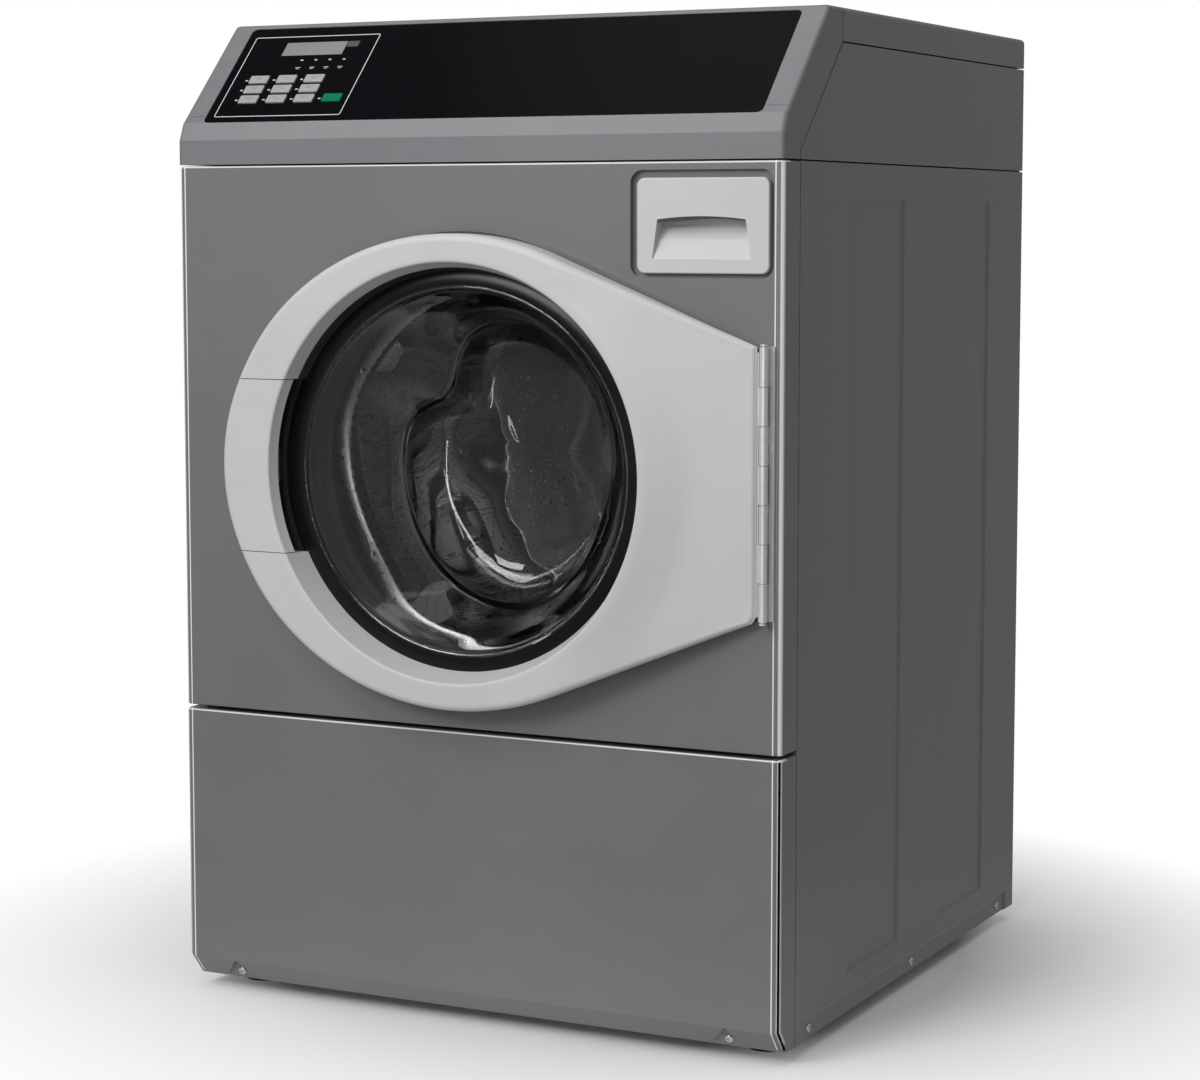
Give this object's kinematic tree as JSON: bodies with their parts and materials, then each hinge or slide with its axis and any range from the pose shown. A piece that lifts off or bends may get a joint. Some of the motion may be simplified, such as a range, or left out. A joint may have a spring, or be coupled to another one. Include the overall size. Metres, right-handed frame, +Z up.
{
  "type": "front load washing machine",
  "caption": "Front load washing machine with round glass door, sloping control panel with keys, detergent drawer and a sprung drum and tub inside a grey steel cabinet.",
  "frame": {"origin": "on the floor under the middle of the machine, feet screwed home", "axes": "+Z up, the front with the door faces -Y, +X to the right seen from the front"},
  "size_m": [0.683, 0.777, 1.022],
  "materials": {
    "body_paint": "warm dark grey powder coat, fine grain, satin",
    "zinc_sheet": "galvanised sheet, dull",
    "bezel_plastic": "dark grey moulded plastic, satin",
    "overlay_film": "near-black printed film, semi gloss",
    "window_film": "grey display window",
    "lamp": "small pale lens",
    "key_grey": "light grey key",
    "key_green": "green key",
    "door_plastic": "light grey moulded plastic, satin",
    "door_glass": "clear pressed glass bowl",
    "inner_plastic": "dark moulded plastic",
    "stainless": "stainless sheet",
    "hinge_steel": "stainless hinge",
    "seal_rubber": "dark grey moulded rubber",
    "hose_rubber": "black hose",
    "belt_rubber": "ribbed belt",
    "housing_plastic": "off-white moulded plastic",
    "tub_steel": "stainless tub sheet",
    "cast_alloy": "cast aluminium",
    "weight_concrete": "cast concrete",
    "bearing_steel": "ground steel",
    "motor_paint": "dark motor enamel",
    "spring_steel": "spring wire",
    "screw_steel": "plated screws",
    "board_green": "circuit board",
    "valve_plastic": "dark valve moulding",
    "foot_plastic": "black moulded foot"
  },
  "bodies": {
    "cabinet": {"cabinet_wrap": "body_paint", "rear_panel": "zinc_sheet", "base_pan": "zinc_sheet", "top_panel": "body_paint", "console_sides": "body_paint", "front_panel": "body_paint", "lower_panel": "body_paint", "console_bezel": "bezel_plastic", "control_overlay": "overlay_film", "display_window": "window_film", "indicator_lamps": "lamp", "control_board": "board_green", "dispenser_housing": "housing_plastic", "door_lock": "inner_plastic", "cabinet_hinge_leaf": "hinge_steel", "door_bellows": "seal_rubber", "panel_screws": "screw_steel", "drain_pump": "inner_plastic", "water_hoses": "hose_rubber", "inlet_valve": "valve_plastic", "drain_outlet": "valve_plastic", "power_gland": "valve_plastic", "suspension_springs": "spring_steel", "damper_cylinders": "inner_plastic"},
    "tub": {"tub_front": "tub_steel", "tub_rear": "tub_steel", "bearing_housing": "cast_alloy", "shaft_bearings": "bearing_steel", "drive_belt": "belt_rubber", "motor_housing": "motor_paint", "counterweights": "weight_concrete", "damper_rods": "bearing_steel"},
    "drum": {"drum_shell": "stainless", "drum_lifters": "stainless", "drum_spider": "cast_alloy", "drive_pulley": "cast_alloy"},
    "motor_rotor": {"motor_pulley": "bearing_steel"},
    "pump_rotor": {"pump_impeller": "housing_plastic"},
    "door": {"door_outer_ring": "door_plastic", "door_grip": "door_plastic", "door_inner_ring": "inner_plastic", "door_glass": "door_glass", "door_hinge_leaf": "hinge_steel", "door_catch": "hinge_steel"},
    "drawer": {"drawer_front": "door_plastic", "drawer_tray": "housing_plastic"},
    "key_1": {"key_1": "key_grey"},
    "key_2": {"key_2": "key_grey"},
    "key_3": {"key_3": "key_grey"},
    "key_4": {"key_4": "key_grey"},
    "key_5": {"key_5": "key_grey"},
    "key_6": {"key_6": "key_grey"},
    "key_7": {"key_7": "key_grey"},
    "key_8": {"key_8": "key_grey"},
    "key_9": {"key_9": "key_grey"},
    "start_key": {"start_key": "key_green"},
    "foot_front_left": {"foot_front_left": "foot_plastic"},
    "foot_front_right": {"foot_front_right": "foot_plastic"},
    "foot_rear_left": {"foot_rear_left": "foot_plastic"},
    "foot_rear_right": {"foot_rear_right": "foot_plastic"}
  },
  "joints": [
    {"name": "door_hinge", "type": "hinge", "parent": "cabinet", "child": "door", "pos_m": [0.326, -0.3585, 0.567], "axis": [0, 0, 1], "range_deg": [0, 170]},
    {"name": "drawer_slide", "type": "slide", "parent": "cabinet", "child": "drawer", "axis": [0, -1, 0], "range_m": [0, 0.125]},
    {"name": "tub_bounce", "type": "slide", "parent": "cabinet", "child": "tub", "axis": [0, 0, 1], "range_m": [-0.012, 0.008], "stiffness_N_per_m": 30000, "springref_m": 0.02125, "deforming": ["suspension_springs", "door_bellows", "water_hoses"]},
    {"name": "drum_spin", "type": "hinge", "parent": "tub", "child": "drum", "pos_m": [0, 0.235, 0.567], "axis": [0, 1, 0], "continuous": true},
    {"name": "motor_spin", "type": "hinge", "parent": "tub", "child": "motor_rotor", "pos_m": [0.06, 0.235, 0.19], "axis": [0, 1, 0], "continuous": true},
    {"name": "pump_spin", "type": "hinge", "parent": "cabinet", "child": "pump_rotor", "pos_m": [-0.12, -0.2535, 0.077], "axis": [0, 1, 0], "continuous": true},
    {"name": "key_1_press", "type": "slide", "parent": "cabinet", "child": "key_1", "axis": [0, 0.7193, -0.6947], "range_m": [0, 0.001], "stiffness_N_per_m": 900},
    {"name": "key_2_press", "type": "slide", "parent": "cabinet", "child": "key_2", "axis": [0, 0.7193, -0.6947], "range_m": [0, 0.001], "stiffness_N_per_m": 900},
    {"name": "key_3_press", "type": "slide", "parent": "cabinet", "child": "key_3", "axis": [0, 0.7193, -0.6947], "range_m": [0, 0.001], "stiffness_N_per_m": 900},
    {"name": "key_4_press", "type": "slide", "parent": "cabinet", "child": "key_4", "axis": [0, 0.7193, -0.6947], "range_m": [0, 0.001], "stiffness_N_per_m": 900},
    {"name": "key_5_press", "type": "slide", "parent": "cabinet", "child": "key_5", "axis": [0, 0.7193, -0.6947], "range_m": [0, 0.001], "stiffness_N_per_m": 900},
    {"name": "key_6_press", "type": "slide", "parent": "cabinet", "child": "key_6", "axis": [0, 0.7193, -0.6947], "range_m": [0, 0.001], "stiffness_N_per_m": 900},
    {"name": "key_7_press", "type": "slide", "parent": "cabinet", "child": "key_7", "axis": [0, 0.7193, -0.6947], "range_m": [0, 0.001], "stiffness_N_per_m": 900},
    {"name": "key_8_press", "type": "slide", "parent": "cabinet", "child": "key_8", "axis": [0, 0.7193, -0.6947], "range_m": [0, 0.001], "stiffness_N_per_m": 900},
    {"name": "key_9_press", "type": "slide", "parent": "cabinet", "child": "key_9", "axis": [0, 0.7193, -0.6947], "range_m": [0, 0.001], "stiffness_N_per_m": 900},
    {"name": "start_key_press", "type": "slide", "parent": "cabinet", "child": "start_key", "axis": [0, 0.7193, -0.6947], "range_m": [0, 0.001], "stiffness_N_per_m": 900},
    {"name": "foot_front_left_screw", "type": "slide", "parent": "cabinet", "child": "foot_front_left", "axis": [0, 0, -1], "range_m": [0, 0.02]},
    {"name": "foot_front_right_screw", "type": "slide", "parent": "cabinet", "child": "foot_front_right", "axis": [0, 0, -1], "range_m": [0, 0.02]},
    {"name": "foot_rear_left_screw", "type": "slide", "parent": "cabinet", "child": "foot_rear_left", "axis": [0, 0, -1], "range_m": [0, 0.02]},
    {"name": "foot_rear_right_screw", "type": "slide", "parent": "cabinet", "child": "foot_rear_right", "axis": [0, 0, -1], "range_m": [0, 0.02]}
  ],
  "couplings": [
    {"joint": "motor_spin", "follows": "drum_spin", "ratio": 7.5}
  ]
}
